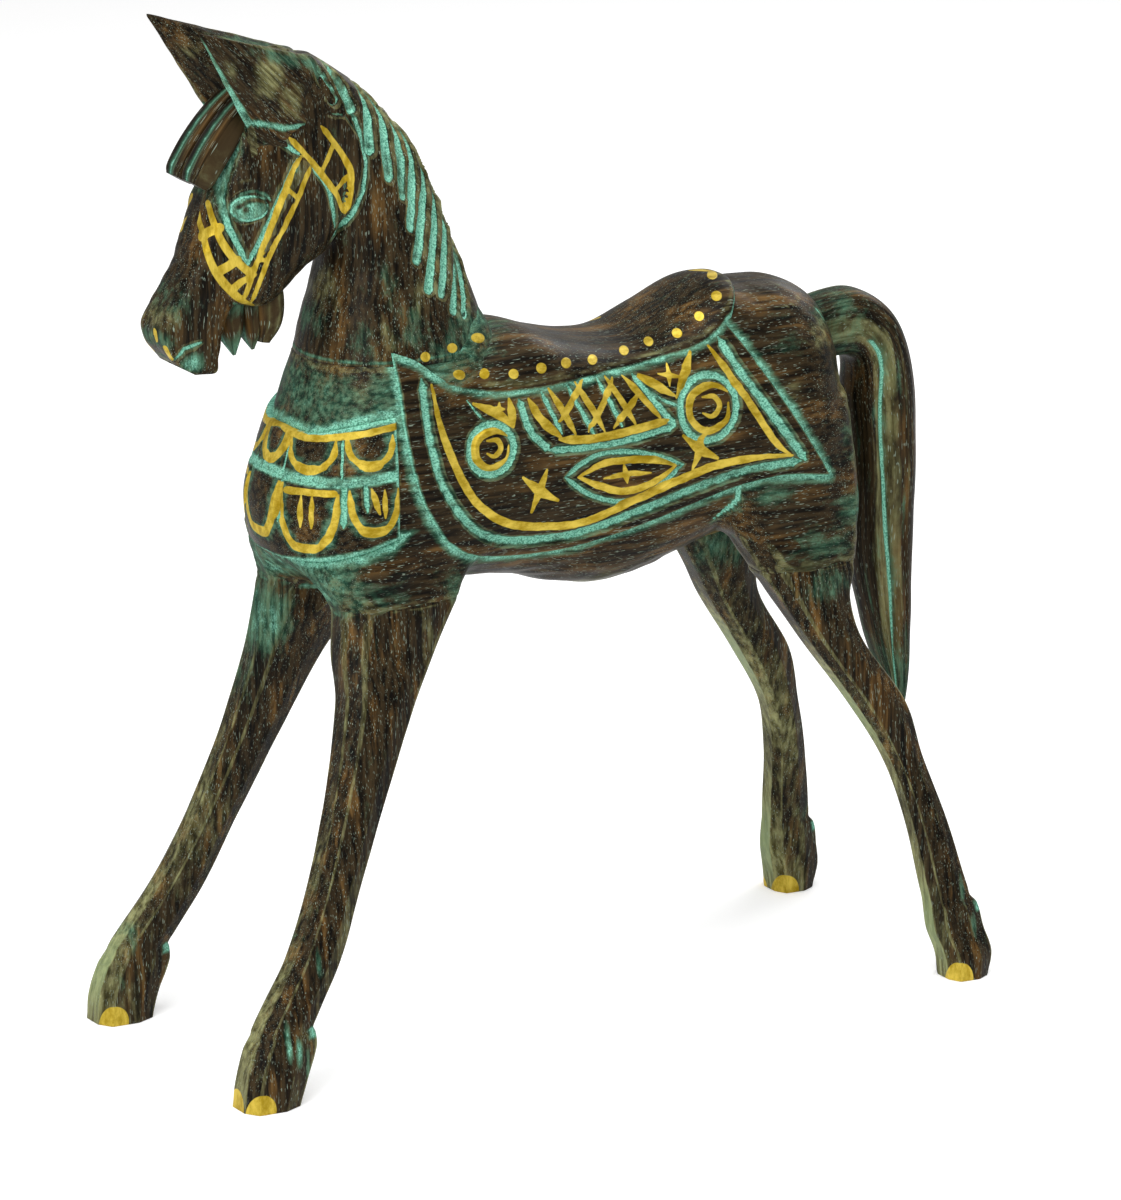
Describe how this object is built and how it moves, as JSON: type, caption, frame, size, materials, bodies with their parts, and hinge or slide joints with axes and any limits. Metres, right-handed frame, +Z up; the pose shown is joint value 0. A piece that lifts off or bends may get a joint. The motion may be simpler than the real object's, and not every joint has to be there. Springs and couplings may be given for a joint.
{
  "type": "carved wooden horse figure",
  "caption": "Carved standing horse figure with splayed legs, saddle, patterned blanket, breast collar and bridle in relief, made of glued wooden blocks.",
  "frame": {"origin": "middle of the footprint box on the ground plane, under the belly", "axes": "+Z up, the head looks towards -X, the horse's left side is -Y"},
  "size_m": [0.4144, 0.183, 0.4999],
  "materials": {
    "body_wood": "dark brown stain, waxed to a satin gloss, with green and gold paint in the carving",
    "head_wood": "dark brown stain, waxed to a satin gloss, with green and gold paint in the carving",
    "leg_wood": "dark brown stain rubbed with pale green, waxed to a satin gloss",
    "tail_wood": "dark brown stain, waxed to a satin gloss",
    "dowel_wood": "plain unfinished hardwood"
  },
  "bodies": {
    "root": {"body": "body_wood", "neck_and_head": "head_wood", "leg_front_left": "leg_wood", "leg_front_right": "leg_wood", "leg_hind_left": "leg_wood", "leg_hind_right": "leg_wood", "tail": "tail_wood", "neck_dowel_front": "dowel_wood", "neck_dowel_rear": "dowel_wood", "dowel_front_left_fore": "dowel_wood", "dowel_front_left_aft": "dowel_wood", "dowel_front_right_fore": "dowel_wood", "dowel_front_right_aft": "dowel_wood", "dowel_hind_left_fore": "dowel_wood", "dowel_hind_left_aft": "dowel_wood", "dowel_hind_right_fore": "dowel_wood", "dowel_hind_right_aft": "dowel_wood", "tail_dowel": "dowel_wood"}
  },
  "joints": []
}
